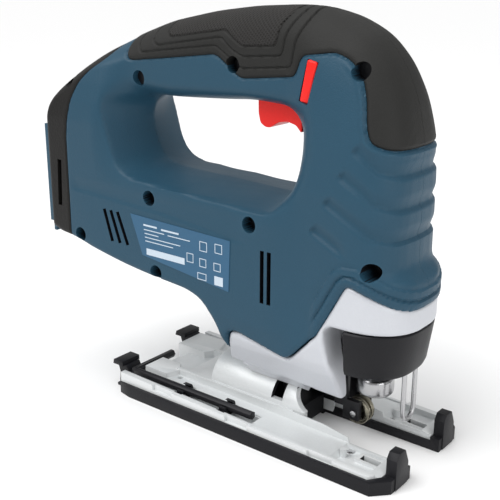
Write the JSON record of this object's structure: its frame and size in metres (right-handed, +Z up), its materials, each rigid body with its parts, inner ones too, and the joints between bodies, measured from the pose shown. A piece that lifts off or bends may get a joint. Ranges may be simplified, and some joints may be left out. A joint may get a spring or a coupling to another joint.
{
  "type": "jigsaw power tool",
  "caption": "Cordless D-handle jigsaw with orbital blade guide, bevel base with slide shoe, soft grip and rear battery rail.",
  "frame": {"origin": "middle of the overall box, at the height of the sole", "axes": "+X forward to the blade end, +Y to the tool's left, +Z up"},
  "size_m": [0.234, 0.078, 0.208],
  "materials": {
    "blue_plastic": "satin moulded",
    "soft_grip": "matte textured",
    "black_plastic": "satin",
    "cast_metal": "satin cast",
    "steel": "bright",
    "blackened_steel": "satin black",
    "brass": "satin",
    "red_plastic": "semi gloss",
    "label_film": "printed film",
    "board": "satin",
    "lead_cover": "satin"
  },
  "bodies": {
    "housing": {"housing_right": "blue_plastic", "housing_left": "blue_plastic", "grip_right": "soft_grip", "grip_left": "soft_grip", "housing_screws": "steel", "battery_frame": "black_plastic", "battery_rail": "blue_plastic", "terminal_block": "black_plastic", "battery_terminals": "brass", "gear_case": "cast_metal", "gear_frame": "cast_metal", "lower_bush": "brass", "upper_bush": "brass", "rating_label": "label_film", "motor_can": "steel", "motor_magnets": "blackened_steel", "motor_end_cap": "black_plastic", "brush_holder": "brass", "front_bearing": "steel", "rear_bearing": "steel", "switch_module": "black_plastic", "control_board": "board", "power_leads": "lead_cover", "gear_axle": "steel", "fork_pin": "steel", "trigger_spring": "steel", "base_clamp_screw": "blackened_steel"},
    "rotor": {"rotor_shaft": "steel", "armature": "steel", "commutator": "brass", "cooling_fan": "black_plastic", "motor_pinion": "steel"},
    "drive_gear": {"drive_gear": "steel", "counterweight": "steel"},
    "plunger": {"plunger_rod": "steel", "plunger_yoke": "steel", "blade_clamp": "steel"},
    "fork": {"roller_fork": "blackened_steel", "roller_pin": "steel"},
    "roller": {"guide_roller": "steel"},
    "orbit_selector": {"orbit_lever": "black_plastic"},
    "trigger": {"trigger": "red_plastic"},
    "lock_button": {"lock_button": "red_plastic"},
    "release_lever": {"release_lever": "black_plastic", "touch_guard": "steel"},
    "base": {"base_plate": "cast_metal", "slide_shoe": "black_plastic", "base_pins": "steel", "key_clips": "black_plastic"},
    "hex_key": {"hex_key": "blackened_steel"}
  },
  "joints": [
    {"name": "rotor_spin", "type": "hinge", "parent": "housing", "child": "rotor", "pos_m": [0, 0, 0.094], "axis": [1, 0, 0], "continuous": true},
    {"name": "gear_spin", "type": "hinge", "parent": "housing", "child": "drive_gear", "pos_m": [0.07, 0, 0.121], "axis": [1, 0, 0], "continuous": true},
    {"name": "plunger_slide", "type": "slide", "parent": "housing", "child": "plunger", "axis": [0, 0, 1], "range_m": [0, 0.023]},
    {"name": "fork_swing", "type": "hinge", "parent": "housing", "child": "fork", "pos_m": [0.072, 0, 0.044], "axis": [0, -1, 0], "range_deg": [0, 4]},
    {"name": "roller_spin", "type": "hinge", "parent": "fork", "child": "roller", "pos_m": [0.08, 0, 0.0175], "axis": [0, 1, 0], "continuous": true},
    {"name": "orbit_turn", "type": "hinge", "parent": "housing", "child": "orbit_selector", "pos_m": [0.05, 0.03, 0.0435], "axis": [0, -1, 0], "range_deg": [0, 90]},
    {"name": "trigger_squeeze", "type": "slide", "parent": "housing", "child": "trigger", "axis": [0, 0, 1], "range_m": [0, 0.006], "stiffness_N_per_m": 250, "springref_m": -0.002, "deforming": ["trigger_spring"]},
    {"name": "lock_push", "type": "slide", "parent": "housing", "child": "lock_button", "axis": [0, 1, 0], "range_m": [0, 0.004]},
    {"name": "release_turn", "type": "hinge", "parent": "housing", "child": "release_lever", "pos_m": [0.082, 0, 0.05], "axis": [0, 0, 1], "range_deg": [0, 14], "stiffness_Nm_per_rad": 0.1, "springref_deg": -5.73},
    {"name": "base_tilt", "type": "hinge", "parent": "housing", "child": "base", "pos_m": [0, 0, 0.0115], "axis": [1, 0, 0], "range_deg": [-45, 45]},
    {"name": "key_lift", "type": "slide", "parent": "base", "child": "hex_key", "axis": [0, 0, 1], "range_m": [0, 0.03]}
  ],
  "couplings": [
    {"joint": "gear_spin", "follows": "rotor_spin", "ratio": -0.2}
  ]
}
